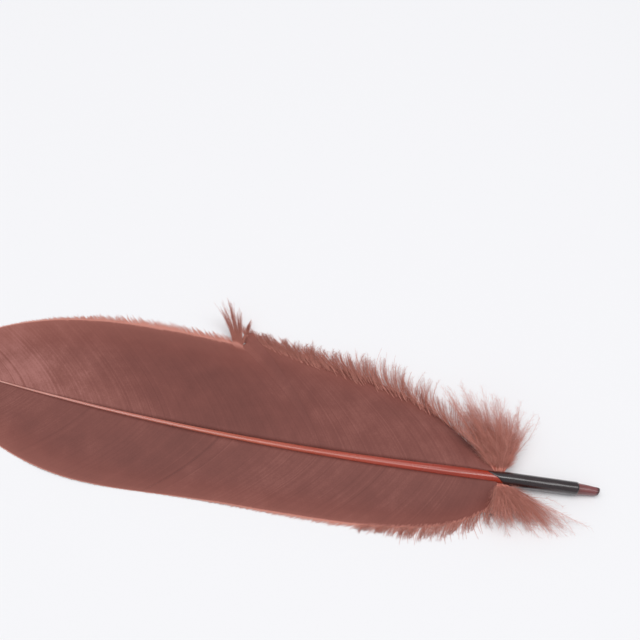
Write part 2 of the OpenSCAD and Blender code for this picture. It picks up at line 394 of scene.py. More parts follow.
def barbules(path: np.ndarray, rng: np.random.Generator, start: float, per_strand: int, length: float,
             half: float) -> tuple[np.ndarray, np.ndarray, np.ndarray, np.ndarray]:
    """Fine side hairs of downy barbs.

    Args:
        path: The barbs' centre points, shaped (strands, rings, 3).
        rng: The source of chance.
        start: The way along a barb where its side hairs begin.
        per_strand: Side hairs on each barb.
        length: Length of a side hair, in millimetres.
        half: Half of its thickness at the foot.

    Returns:
        Centre points, width directions, half widths, and the barb that each hair is on.
    """
    strands, rings = path.shape[:2]
    place = mix(start, 0.985, (np.arange(per_strand) + rng.random((strands, per_strand))) / per_strand)
    at = place * (rings - 1)
    low = np.minimum(at.astype(int), rings - 2)
    row = np.arange(strands)[:, None]
    foot = mix(path[row, low], path[row, low + 1], (at - low)[..., None])
    ahead = unit(path[row, low + 1] - path[row, low])
    spin = rng.random((strands, per_strand, 3)) - 0.5
    spin[..., 2] *= 0.7
    out = unit(spin - (spin * ahead).sum(-1, keepdims=True) * ahead)
    size = length * (0.55 + 0.6 * rng.random((strands, per_strand))) * (1 - 0.45 * place)
    way = np.array([0.0, 0.4, 1.0])
    step = out[:, :, None] * way[:, None] * 0.72 + ahead[:, :, None] * (way * (0.45 + 0.4 * way))[:, None]
    hair = foot[:, :, None] + step * size[..., None, None]
    side = np.broadcast_to(np.cross(ahead, out)[:, :, None], hair.shape)
    width = np.broadcast_to(half * np.array([1.0, 0.75, 0.25]), hair.shape[:3])
    owner = np.repeat(np.arange(strands), per_strand)
    return hair.reshape(-1, 3, 3), side.reshape(-1, 3, 3), width.reshape(-1, 3), owner


# ---- finishes


def add_node(tree: NodeTree, kind: str, links: dict[str | int, object] | None = None,
             **settings: object) -> Node:
    """Adds one node to a material.

    Args:
        tree: The material's node tree.
        kind: The node's type.
        links: For each input, the output socket that feeds it, or its value.
        settings: The node's own settings.

    Returns:
        The node.
    """
    node = tree.nodes.new(kind)
    for key, value in settings.items():
        setattr(node, key, value)
    for key, value in (links or {}).items():
        if isinstance(value, NodeSocket):
            tree.links.new(value, node.inputs[key])
        else:
            node.inputs[key].default_value = value
    return node


def blank_material(name: str) -> tuple[Material, NodeTree]:
    """A node material with nothing in it, and its node tree."""
    material = bpy.data.materials.new(name)
    material.use_nodes = True
    material.node_tree.nodes.clear()
    return material, material.node_tree


def ramp(tree: NodeTree, fac: NodeSocket,
         stops: Sequence[tuple[float, str]]) -> NodeSocket:
    """A colour that changes with a number.

    Args:
        tree: The material's node tree.
        fac: The number.
        stops: Places from 0 to 1 and their sRGB hex colours.

    Returns:
        The colour output.
    """
    node = add_node(tree, "ShaderNodeValToRGB", {"Fac": fac})
    elements = node.color_ramp.elements
    while len(elements) > len(stops):
        elements.remove(elements[-1])
    while len(elements) < len(stops):
        elements.new(1.0)
    for element, (place, code) in zip(elements, stops):
        element.position = place
        element.color = srgb(code)
    return node.outputs["Color"]


def stored(tree: NodeTree, name: str, output: str = "Fac") -> NodeSocket:
    """A number or a vector that the piece stores for each vertex."""
    return add_node(tree, "ShaderNodeAttribute", attribute_name=name).outputs[output]


def own_place(tree: NodeTree) -> NodeSocket:
    """The place on the piece, in metres."""
    return add_node(tree, "ShaderNodeTexCoord").outputs["Object"]


def noise(tree: NodeTree, place: NodeSocket, scale: float, detail: float,
          roughness: float = 0.5) -> NodeSocket:
    """Cloudy noise whose features are about 1 / scale across, in the unit of place."""
    return add_node(tree, "ShaderNodeTexNoise", {
        "Vector": place, "Scale": scale, "Detail": detail, "Roughness": roughness}).outputs["Fac"]


def remap(tree: NodeTree, value: NodeSocket, low: float, high: float,
          to_low: float = 0.0, to_high: float = 1.0) -> NodeSocket:
    """Stretches the range from low to high over another one, and clips what lies outside."""
    return add_node(tree, "ShaderNodeMapRange", {
        "Value": value, "From Min": low, "From Max": high, "To Min": to_low, "To Max": to_high}).outputs["Result"]


def plus(tree: NodeTree, a: NodeSocket, b: NodeSocket) -> NodeSocket:
    """The sum of two numbers."""
    return add_node(tree, "ShaderNodeMath", {0: a, 1: b}, operation="ADD").outputs[0]


def mix_colours(tree: NodeTree, share: NodeSocket, a: object, b: object) -> NodeSocket:
    """The first colour where share is 0, and the second where it is 1."""
    return add_node(tree, "ShaderNodeMix", {"Factor": share, 6: a, 7: b}, data_type="RGBA").outputs[2]


def close_material(tree: NodeTree, links: dict[str | int, object], bump: NodeSocket | None,
                   depth_mm: float) -> None:
    """Ends a material with its surface shader.

    Args:
        tree: The material's node tree.
        links: The shader's inputs.
        bump: The height that the surface follows, or None.
        depth_mm: How deep a height of 1 is.
    """
    if bump is not None:
        rough = add_node(tree, "ShaderNodeBump", {"Height": bump, "Distance": depth_mm * MM, "Strength": 1.0})
        links = {**links, "Normal": rough.outputs["Normal"]}
    shader = add_node(tree, "ShaderNodeBsdfPrincipled", links)
    add_node(tree, "ShaderNodeOutputMaterial", {"Surface": shader.outputs["BSDF"]})


@dataclass(frozen=True)
class DyedBarbs:
    """Dyed feather barbs: keratin ribbons hooked into a web. Matt and even, with a faint silk along the barbs, and
    paler towards the edge, partly as painted light.
    """

    name: str = "dyed_goose_barbs"
    fleck: str = "#452521"
    deep: str = "#6C3D37"
    middle: str = "#7B4740"
    light: str = "#8B554D"
    pale: str = "#A66E67"
    # near_edge: warmer dye, partly lightened as painted light; rim: the loose ends, paled as painted light through
    # the thin hairs
    near_edge: str = "#8D4F45"
    rim: str = "#CB897B"
    mottle_mm: float = 7.0
    grain_mm: float = 0.3
    roughness: float = 0.68
    sheen: float = 0.05

    def build(self) -> Material:
        """Makes the material, which reads tint and rim from the piece."""
        material, tree = blank_material(self.name)
        place, rim = own_place(tree), stored(tree, "rim")
        # the dye takes a little unevenly, in patches of several millimetres
        patch = noise(tree, place, 1 / (self.mottle_mm * MM), 3.0, 0.55)
        # barbules cross the barbs every 0.04 mm; drawn every 0.3 mm, which is the finest that can show
        grain = noise(tree, place, 1 / (self.grain_mm * MM), 2.0, 0.6)
        shade = plus(tree, stored(tree, "tint"), remap(tree, patch, 0.3, 0.7, -0.1, 0.1))
        shade = plus(tree, shade, remap(tree, grain, 0.25, 0.75, -0.09, 0.09))
        colour = ramp(tree, shade, [
            (0.0, self.fleck), (0.3, self.deep), (0.6, self.middle), (0.8, self.light), (1.0, self.pale)])
        # the dye is warmer towards the edge; the lightening there is partly painted light for the vane's curve, and
        # the pale loose ends are painted light, as if it came through the thin hairs
        edge_dye_and_painted_light = ramp(tree, rim, [(0.2, self.near_edge), (0.85, self.rim)])
        colour = mix_colours(tree, remap(tree, rim, 0.0, 0.75), colour, edge_dye_and_painted_light)
        close_material(tree, {
            "Base Color": colour, "Roughness": self.roughness, "IOR": 1.54, "Sheen Weight": self.sheen,
            "Sheen Roughness": 0.4, "Sheen Tint": srgb("#E9C6BD"), "Specular IOR Level": 0.3}, grain, 0.012)
        return material


@dataclass(frozen=True)
class DyedDown:
    """Dyed down: loose barbs with soft side hairs. Pale and pink where it catches light, dark in its hollows, and
    painted paler towards the tips, as painted light through the thin hairs.
    """

    name: str = "dyed_goose_down"
    deep: str = "#8E4135"
    middle: str = "#C27364"
    light: str = "#E3A293"
    mottle_mm: float = 2.5
    roughness: float = 0.8

    def build(self) -> Material:
        """Makes the material, which reads tint and rim from the piece."""
        material, tree = blank_material(self.name)
        # the dye is deeper in some bunches than in others, over a few millimetres
        patch = noise(tree, own_place(tree), 1 / (self.mottle_mm * MM), 2.0)
        shade = plus(tree, stored(tree, "tint"), remap(tree, patch, 0.3, 0.7, -0.2, 0.2))
        colour = ramp(tree, shade, [(0.05, self.deep), (0.5, self.middle), (0.95, self.light)])
        # the tips are painted paler: painted light, as if it came through the thin hairs
        colour = mix_colours(tree, stored(tree, "rim"), colour, srgb(self.light))
        close_material(tree, {
            "Base Color": colour, "Roughness": self.roughness, "IOR": 1.54, "Sheen Weight": 0.1,
            "Sheen Roughness": 0.5, "Sheen Tint": srgb("#F1D0C6"), "Specular IOR Level": 0.2}, None, 0.0)
        return material


@dataclass(frozen=True)
class DyedHorn:
    """The shaft's horn: smooth keratin, dyed orange red, with fine streaks along it and a soft gloss."""

    name: str = "dyed_quill_horn"
    stops: tuple[tuple[float, str], ...] = (
        (0.0, "#A32F14"), (0.2, "#A9351B"), (0.36, "#B0452B"), (0.55, "#BB5F49"), (0.75, "#C98173"), (1.0, "#D29C90"))
    streak: str = "#7A1F0C"
    roughness: float = 0.3
    coat: float = 0.6
    from_mm: float = 20.0
    to_mm: float = 172.0
    streak_mm: float = 0.35

    def build(self) -> Material:
        """Makes the material, which reads lay from the piece: the distance along, and the place across."""
        material, tree = blank_material(self.name)
        lay = stored(tree, "lay", "Vector")
        along = add_node(tree, "ShaderNodeSeparateXYZ", {"Vector": lay}).outputs["X"]
        colour = ramp(tree, remap(tree, along, self.from_mm, self.to_mm), self.stops)
        # growth lines run the length of the horn, some 0.35 mm apart and tens of millimetres long
        pulled = add_node(tree, "ShaderNodeMapping", {"Vector": lay, "Scale": (0.03, 1.0, 1.0)}).outputs[0]
        streaks = noise(tree, pulled, 1 / self.streak_mm, 3.0, 0.6)
        colour = mix_colours(tree, remap(tree, streaks, 0.42, 0.75, 0.0, 0.5), colour, srgb(self.streak))
        # the gloss changes over about 5 mm
        cloud = noise(tree, lay, 0.22, 2.0)
        gloss = remap(tree, cloud, 0.3, 0.7, self.roughness - 0.06, self.roughness + 0.1)
        close_material(tree, {
            "Base Color": colour, "Roughness": gloss, "IOR": 1.55, "Coat Weight": self.coat,
            "Coat Roughness": 0.16, "Subsurface Weight": 0.12, "Subsurface Radius": (0.0009, 0.0003, 0.0002)},
            streaks, 0.02)
        return material


@dataclass(frozen=True)
class DarkSkin:
    """The dried skin left on the barrel: nearly black brown, smooth, with a soft grey gloss and grey streaks, partly
    rubbed wear and partly painted highlight.
    """

    name: str = "dried_barrel_skin"
    dark: str = "#160B0D"
    body: str = "#261316"
    rubbed_and_painted_highlight: str = "#443335"
    roughness: float = 0.22

    def build(self) -> Material:
        """Makes the material, which reads lay from the piece."""
        material, tree = blank_material(self.name)
        # grey streaks, partly rubbed wear and partly painted highlight, about 0.6 mm apart and 5 mm long, with finer
        # ones between them
        pulled = add_node(tree, "ShaderNodeMapping", {
            "Vector": stored(tree, "lay", "Vector"), "Scale": (0.12, 1.0, 1.0)}).outputs[0]
        streaks = noise(tree, pulled, 1.7, 4.0, 0.62)
        fine = noise(tree, pulled, 7.0, 3.0)
        colour = ramp(tree, streaks, [(0.3, self.dark), (0.58, self.body), (0.84, self.rubbed_and_painted_highlight)])
        gloss = remap(tree, fine, 0.3, 0.7, self.roughness - 0.05, self.roughness + 0.1)
        close_material(tree, {
            "Base Color": colour, "Roughness": gloss, "IOR": 1.55, "Coat Weight": 0.9, "Coat Roughness": 0.14},
            fine, 0.012)
        return material


@dataclass(frozen=True)
class DryPulp:
    """Dried pulp or pith: a dull, papery or foamy filling, seen only through the root hole."""

    name: str
    colours: tuple[str, str]
    grain_mm: float

    def build(self) -> Material:
        """Makes the material, which is laid out by the piece's own place."""
        material, tree = blank_material(self.name)
        grain = noise(tree, own_place(tree), 1 / (self.grain_mm * MM), 3.0)
        colour = ramp(tree, grain, [(0.3, self.colours[0]), (0.7, self.colours[1])])
        close_material(tree, {"Base Color": colour, "Roughness": 0.85, "IOR": 1.5}, grain, 0.03)
        return material


@dataclass(frozen=True)
class PaleTable:
    """A plain matt table top, close to white, so that soft shadows show."""

    name: str = "pale_table"
    colour: str = "#F3F3F5"

    def build(self) -> Material:
        """Makes the material."""
        material, tree = blank_material(self.name)
        close_material(tree, {
            "Base Color": srgb(self.colour), "Roughness": 0.9, "Specular IOR Level": 0.2}, None, 0.0)
        return material


# ---- the shaft and barrel


@dataclass
class Quill:
    """The horn of the feather, from the root end to the last barbs, with its dark skin and its fillings."""

    horn: Material
    root_horn: Material
    skin: Material
    bare_root_l: float = 6.0
    skin_r: float = 1.8
    bore_r: float = 1.19
    hole_r: float = 0.5
    pith_end: float = 150.0
    slant: float = 0.35
    around: int = 48

    def _turn(self) -> np.ndarray:
        """Angles around the shaft, 0 towards the wide vane and a quarter turn on the arched side."""
        return 2 * math.pi * np.arange(self.around) / self.around

    def _ring(self, t: np.ndarray, radius: np.ndarray) -> np.ndarray:
        """Ring points.

        Args:
            t: Distance along for each ring, or for each of its points.
            radius: Distance from the centreline, shaped (rings, around).

        Returns:
            Points shaped (rings, around, 3).
        """
        a = self._turn()[:, None]
        t = self._spread(t)
        return LINE.spine(t) + radius[..., None] * (np.cos(a) * LINE.outward(t) + np.sin(a) * LINE.dorsal(t))

    def _spread(self, t: np.ndarray) -> np.ndarray:
        """Distances along, one for each ring point, from one for each ring or for each point."""
        return np.broadcast_to(t if t.ndim == 2 else t[:, None], (len(t), self.around))

    def _lay(self, t: np.ndarray, radius: np.ndarray) -> np.ndarray:
        """For each ring point, its distance along and its place across, in millimetres."""
        a = self._turn()
        return np.stack([self._spread(t), radius * np.cos(a), radius * np.sin(a)], -1)

    def surface(self, t: np.ndarray) -> np.ndarray:
        """The horn's outer radius at t for each angle: round at the barrel, squarer and grooved further on."""
        a = self._turn()
        t = self._spread(t)
        power = 2.0 + 0.6 * ease((t - 29) / 12)
        square = (np.abs(np.cos(a)) ** power + np.abs(np.sin(a)) ** power) ** (-1 / power)
        half = np.where(t < LINE.barrel_l, 1.46 + 0.1 * ease((LINE.barrel_l - t) / 4), LINE.shaft_half(t))
        # the groove runs along the underside, where the angle is three quarters of a turn
        from_below = np.arctan2(np.sin(a + math.pi / 2), np.cos(a + math.pi / 2))
        below = np.exp(-(from_below / 0.22) ** 2)
        groove = 1 - 0.26 * below * ease((t - 30) / 8)
        # growth ridges, a few hundredths of a millimetre high, that wander slowly around the shaft
        ridges = 1 + 0.010 * np.sin(9 * a + 0.05 * t) + 0.006 * np.sin(17 * a - 0.11 * t)
        waver = 1 + 0.012 * np.sin(t / 3.1 + 0.7) + 0.008 * np.sin(t / 1.3)
        return half * square * groove * ridges * waver

    def build_shaft(self) -> Object:
        """Makes the hollow shaft, from under the dark skin to the last barbs."""
        inner_t = np.linspace(self.pith_end, 28.05, 60)
        wall = mix(0.7, 0.5, (inner_t - 28) / 122)[:, None]
        inner_r = np.broadcast_to((LINE.shaft_half(inner_t)[:, None] * wall), (60, self.around))
        outer_t = np.concatenate([np.linspace(25.2, 60, 120), np.linspace(60.4, LINE.shaft_end, 200)])
        outer_r = self.surface(outer_t)
        outer_r[-1] *= 0.4
        t = np.concatenate([inner_t, outer_t])
        radius = np.concatenate([inner_r, outer_r])
        shaft = loft("shaft_horn_sleeve", self._ring(t, radius), self._lay(t, radius), self.horn)
        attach(shaft, "shaft")
        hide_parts("shaft_shell")
        return shaft

    def build_barrel(self) -> Object:
        """Makes the hollow barrel, with its bare root tapering to a slanted end round the root hole."""
        a = self._turn()
        rng = np.random.default_rng(SEED + 1)
        out_t = np.array([0.05, 0.0, 0.12, 0.4, 0.8, 1.4, 2.2, 3.0, 3.8, 4.6, 5.3, 6.2, 9, 14, 20, 24.3, 26, 28.0])
        out_r = np.array([0.62, 0.8, 0.98, 1.09, 1.13, 1.17, 1.24, 1.31, 1.37, 1.43, 1.47, 1.55, 1.59, 1.59, 1.59,
                          1.57, 1.46, 1.42])
        in_t = np.array([27.9, 24.3, 6, 3.4, 2.2, 1.2, 0.5, 0.16])
        in_r = np.array([1.0, self.bore_r, self.bore_r, 0.9, 0.55, self.hole_r, self.hole_r, 0.52])
        t = np.concatenate([out_t, in_t])[:, None] * np.ones(self.around)
        radius = np.concatenate([out_r, in_r])[:, None] * np.ones(self.around)
        near_end = np.maximum(0.0, 1 - t / 5.0) ** 1.5
        lay = self._lay(t, radius)
        # the end was broken off at a slant, lowest on the side towards the table
        t = t + near_end * self.slant * (1 + np.cos(a + 2.6)) * 0.5
        lumps = sum(rng.normal(0, 1) * np.sin(k * a + rng.random() * 6.3) for k in (2, 3, 4, 5))
        outer = (np.arange(len(t)) < len(out_t))[:, None]
        radius = radius * np.where(outer, 1 + 0.02 * lumps * near_end + 0.012 * np.sin(7 * a + t), 1.0)
        barrel = loft("barrel_horn", self._ring(t, radius), lay, self.root_horn, closed_loop=True)
        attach(barrel, "shaft")
        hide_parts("barrel")
        return barrel

    def build_skin(self) -> Object:
        """Makes the dark skin, a thin sleeve with ragged ends that slants across the shaft at its upper end."""
        a = self._turn()
        rng = np.random.default_rng(SEED + 2)
        ragged = [sum(rng.normal(0, 1) / k * np.sin(k * a + rng.random() * 6.3) for k in (2, 3, 5, 8, 11))
                  for _ in range(2)]
        root_t = self.bare_root_l + 0.14 * ragged[0]
        top_t = 28.4 + 1.9 * np.cos(a) + 0.35 * ragged[1]
        f = np.concatenate([[0.0, 0.004, 0.02, 0.05], np.linspace(0.1, 0.97, 40), [0.985, 1.0]])[:, None]
        t = mix(root_t, top_t, f)
        body = np.interp(t, [0, 6.0, 6.4, 24.3, 26, 28, 30, 34],
                         [1.6, 1.76, self.skin_r, self.skin_r, 1.66, 1.55, 1.50, 1.46])
        above = np.maximum(body, self.surface(t) + 0.05)
        streaky = 1 + 0.008 * np.sin(5 * a + 0.21 * t) + 0.005 * np.sin(13 * a - 0.4 * t)
        dents = sum(0.004 * np.sin(t / w + rng.random() * 6.3 + 2 * a) for w in (0.9, 1.7, 3.1))
        radius = np.minimum(above * (streaky + dents), np.maximum(above, self.skin_r))
        radius[0] -= 0.13
        radius[-1] = self.surface(t[-1:])[0] + 0.005
        inner_t = mix(root_t, top_t, np.array([[0.98], [0.6], [0.2], [0.01]]))
        inner_r = np.minimum(self.surface(inner_t) - 0.08, 1.5)
        t = np.concatenate([t, inner_t])
        radius = np.concatenate([radius, inner_r])
        skin = loft("barrel_dark_skin", self._ring(t, radius), self._lay(t, radius), self.skin, closed_loop=True)
        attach(skin, "shaft")
        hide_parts("barrel_skin")
        return skin

    def dress_fillings(self) -> list[str]:
        """Gives the frame's own caps, plug and pith their finishes, and names them."""
        pulp = DryPulp("dried_pulp", ("#8C6A48", "#C7A985"), 0.6).build()
        pith = DryPulp("shaft_pith_foam", ("#E2D3B8", "#F3EADA"), 0.4).build()
        names = [f"pulp_cap_{n}" for n in range(1, 6)] + ["upper_plug"]
        for name in names + ["shaft_pith"]:
            material = pith if name == "shaft_pith" else pulp
            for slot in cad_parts[name].material_slots:
                slot.material = material
        return names + ["shaft_pith"]


# ---- the vanes


@dataclass
class Vane:
    """One vane: hooked barbs in locks, each barb a ribbon that ends in a loose hair."""

    side: Side
    barbs: Material
    locks: int
    spacing: float = 0.37
    thick: float = 0.034
    hooked_rings: int = 17
    free_rings: int = 7
    # a barb covers a little of its neighbour, so that the web closes
    overlap: float = 1.22
    loose_half: float = 0.2
    slipped_share: float = 0.02
    fluff_spacing: float = 0.105
    root_line_y: float = -7.1

    @property
    def label(self) -> str:
        """The start of the names of this vane's pieces."""
        return "wide" if self.side is Side.WIDE else "narrow"

    def free_length(self, end_t: np.ndarray) -> np.ndarray:
        """Length of the loose end of the barb that reaches the edge at end_t, in millimetres."""
        if self.side is Side.WIDE:
            return np.interp(end_t, [30, 44, 60, 72, 84, 99, 101, 112, 137, 150, 166, 178],
                             [6.5, 8.0, 8.0, 7.5, 6.3, 5.4, 4.2, 4.2, 3.3, 1.6, 0.6, 0.4])
        return np.interp(end_t, [24, 34, 50, 58, 75, 96, 110, 178], [5.0, 5.0, 4.2, 3.0, 1.9, 1.1, 0.5, 0.4])

    def fluffy(self, end_t: np.ndarray) -> np.ndarray:
        """How downy the loose ends are, from 0 to 1."""
        last = 70.0 if self.side is Side.WIDE else 56.0
        return 1 - ease((end_t - last + 12) / 20)

    def wave(self, t: np.ndarray, v: np.ndarray) -> np.ndarray:
        """Height of the vane's slight waves, in millimetres."""
        swell = np.sin(t / 6.3 + 1.2 * v) * 0.16 + np.sin(t / 2.7 - 2.0 * v) * 0.05
        return swell * ease(v * 1.4)

    def shade(self, t: np.ndarray) -> np.ndarray:
        """The dye's shade along the vane: the wide one pales towards the tip and a little towards the root."""
        if self.side is Side.WIDE:
            return np.interp(t, [28, 50, 75, 95, 118, 140, 160], [0.68, 0.68, 0.58, 0.42, 0.60, 0.84, 0.92])
        return np.interp(t, [28, 50, 80, 110, 150], [0.50, 0.58, 0.61, 0.50, 0.58])

    def strand_paths(self, feet: np.ndarray, free: np.ndarray,
                     rng: np.random.Generator) -> tuple[np.ndarray, np.ndarray]:
        """Centre points of barbs.

        Args:
            feet: Where the barbs stand on the shaft.
            free: Length of each one's loose end, in millimetres.
            rng: The source of chance.

        Returns:
            Points shaped (barbs, rings, 3), and the way along for each ring, over 1 in the loose end.
        """
        count = len(feet)
        v = np.linspace(0.0, 1.0, self.hooked_rings)[None, :] * np.ones((count, 1))
        t = feet[:, None] * np.ones_like(v)
        hooked = LINE.barb(self.side, t, v)
        hooked[..., 2] += self.wave(t, v)
        ahead = unit(hooked[:, -1] - hooked[:, -2])
        u = np.linspace(0.0, 1.0, self.free_rings + 1)[1:]
        size = free * (0.8 + 0.4 * rng.random(count))
        end_t = feet + LINE.lead(self.side, feet)
        downy = self.fluffy(end_t)[:, None]
        # each loose end turns a little its own way, and the downy ones turn up and towards the root
        turn = np.stack([
            0.04 + 0.05 * rng.normal(size=count), 0.06 * rng.normal(size=count),
            0.02 + 0.05 * rng.normal(size=count)], -1)
        turn *= 1 + 1.5 * downy
        turn[:, 0] += 0.25 * downy[:, 0]
        turn[:, 1] += self.side.value * (0.22 * downy[:, 0])
        turn[:, 2] += (0.35 if self.side is Side.WIDE else 0.06) * downy[:, 0]
        grow = (u * size[:, None])[..., None]
        bend = (u**2 * size[:, None])[..., None]
        loose = hooked[:, -1:] + ahead[:, None] * grow + turn[:, None] * bend
        loose[..., 2] = np.maximum(loose[..., 2], 0.06)
        path = np.concatenate([hooked, loose], 1)
        way = np.concatenate([v, 1 + u * np.ones((count, 1))], 1)
        return path, way

    def ribbons(self, mesh: StrandMesh, foot: float, top: float, rng: np.random.Generator) -> None:
        """Adds the barbs between two places on the shaft.

        Args:
            mesh: The piece that takes them.
            foot: Where the first one stands.
            top: Where the last one ends.
            rng: The source of chance.
        """
        count = max(3, round((top - foot) / self.spacing))
        feet = foot + (np.arange(count) + 0.5) * (top - foot) / count
        end_t = np.minimum(LINE.length, feet + LINE.lead(self.side, feet))
        path, way = self.strand_paths(feet, self.free_length(end_t), rng)
        v = np.minimum(way, 1.0)
        step = 0.2
        across = (LINE.barb(self.side, feet[:, None] + step, v)
                  - LINE.barb(self.side, feet[:, None] - step, v)) / (2 * step)
        tangent = unit(np.gradient(path, axis=1))
        square = across - (across * tangent).sum(-1, keepdims=True) * tangent
        pitch = np.linalg.norm(square, axis=-1) * (top - foot) / count
        half = 0.5 * pitch * self.overlap
        u = np.maximum(0.0, way - 1.0)
        full = 1 - 0.5 * self.fluffy(end_t)[:, None]
        half = np.where(way <= 1.0, half, mix(np.minimum(half, self.loose_half) * full, 0.02, u**1.1))
        # a few barbs have slipped out of hook, and leave a fine line in the web; they are painted darker too, as
        # painted shade in that line
        slipped_painted_dark = rng.random(count) < self.slipped_share
        half = np.where(slipped_painted_dark[:, None] & (v > 0.35), half * 0.8, half)
        half[:, 0] *= 0.7
        high = np.where(way <= 1.0, self.thick, mix(self.thick, 0.014, u))
        # slipped barbs take a darker tint: painted shade
        tint = np.clip(self.shade(feet) + 0.035 * rng.normal(size=count) - 0.12 * slipped_painted_dark, 0.05, 0.95)
        # edge rises towards the hooked edge and the loose end, where the finish paints the barbs paler, partly as
        # painted light
        edge = 0.3 * ease((v - 0.55) / 0.4) + 0.55 * ease((way - 0.985) / 0.06) + 0.15 * u
        mesh.add(path, square, half, high, tint, edge)

    def fluff(self, mesh: StrandMesh, foot: float, top: float, rng: np.random.Generator) -> None:
        """Adds downy barbs along the vane's root-side edge, where nothing hooks the barbs together.

        Args:
            mesh: The piece that takes them.
            foot: Where the first barb stands on the shaft.
            top: Where the last one could stand.
            rng: The source of chance.
        """
        wide = self.side is Side.WIDE
        last = min(top, 132.0 if wide else 84.0)
        if foot >= last:
            return
        count = int((last - foot) / self.fluff_spacing)
        feet = foot + (np.arange(count) + rng.random(count)) * (last - foot) / count
        # fade: 1 where the barbs are all down, and 0 where they are all hooked
        if wide:
            fade = np.interp(feet, [30, 44, 58, 72, 80], [1.0, 0.8, 0.4, 0.1, 0.0])
            size = np.interp(feet, [30, 44, 58, 70, 78, 112, 132], [11.5, 9.5, 6.5, 5.2, 3.9, 3.4, 1.4])
        else:
            fade = np.interp(feet, [29, 38, 50], [1.0, 0.6, 0.0])
            size = np.interp(feet, [29, 38, 50, 84], [6.5, 5.0, 2.8, 0.8])
        kept = rng.random(count) < 0.4 + 0.8 * fade
        feet, fade, size, count = feet[kept], fade[kept], size[kept], int(kept.sum())
        start = mix(1.0, mix(0.985, 0.76 if wide else 0.93, fade), rng.random(count) ** 1.6)
        raised = (1.3 if wide else 0.4) * rng.random(count) ** 1.5 * fade**1.5
        size = size * (0.5 + 0.6 * rng.random(count))
        rings = 13
        u = np.linspace(0, 1, rings)
        base = LINE.barb(self.side, feet, start)
        ahead = unit(base - LINE.barb(self.side, feet, start - 0.08))
        # neighbours sway together and draw together towards their ends
        group = (np.arange(count) / (7 if wide else 6)).astype(int)
        sway = rng.normal(0, 1, (group[-1] + 1, 3))[group]
        pull = np.array([0.16, 0.85, 0.62]) if wide else np.array([-0.1, -0.8, -0.05])
        stray = (0.24 * sway + 0.15 * rng.normal(size=(count, 3))) * (0.3 + 0.7 * fade)[:, None]
        aside = pull * (0.12 + 0.88 * fade)[:, None] + stray
        aim = ahead[:, None] * (1 - 0.55 * u)[:, None] + aside[:, None] * (0.2 + 1.05 * u)[:, None]
        step = unit(aim) * (size / (rings - 1))[:, None, None]
        path = base[:, None] + np.cumsum(step, 1) - step[:, :1]
        middle = np.stack([path[group == g].mean(0) for g in range(group[-1] + 1)])[group]
        path = path + (middle - path) * (0.38 * u**1.3)[:, None]
        arch = raised[:, None] * np.sin(np.pi * np.minimum(1, 0.25 + u))
        path[..., 2] += self.wave(feet, start)[:, None] - 0.02 + arch
        path[..., 2] = np.maximum(path[..., 2], 0.06 + 0.2 * (rng.random(count) * fade)[:, None])
        half = mix(BARB_HALF, 0.018, u)
        # the downy ends get a pale tint and high rim numbers: painted light, as if it came through the thin hairs
        tint = np.clip(0.78 + 0.16 * rng.normal(size=count), 0, 1)
        mesh.add(path, LINE.heading(feet)[:, None], half, half * 0.7, tint, 0.72 + 0.28 * u)
        soft = fade > 0.12
        if soft.any():
            mesh.add_barbules(path[soft], rng, 0.08, 34 if wide else 20, 1.35, 0.02, tint[soft], 0.7)

    def build_lock(self, number: int) -> Object:
        """Makes one lock of hooked barbs, numbered from the root side."""
        foot, top = LINE.lock_foot(self.side, number - 1), LINE.lock_foot(self.side, number)
        if self.side is Side.WIDE:
            # the loose wisps take the place of the barbs between these two locks
            foot = LOOSE_STRETCH[1] if number == 4 else foot
            top = LOOSE_STRETCH[0] if number == 3 else top
        rng = np.random.default_rng(SEED + 100 * self.locks + number)
        mesh = StrandMesh()
        self.ribbons(mesh, foot, top, rng)
        self.fluff(mesh, foot, top, rng)
        node = f"{self.label}_barbs_{number}"
        return self.place(mesh.build(f"{self.label}_lock_{number:02d}", self.barbs), node, "vane")

    def place(self, piece: Object, node: str, slot: str) -> Object:
        """Bakes a piece's place into its mesh and hides the frame node that it stands for."""
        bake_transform(piece)
        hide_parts(node)
        return piece


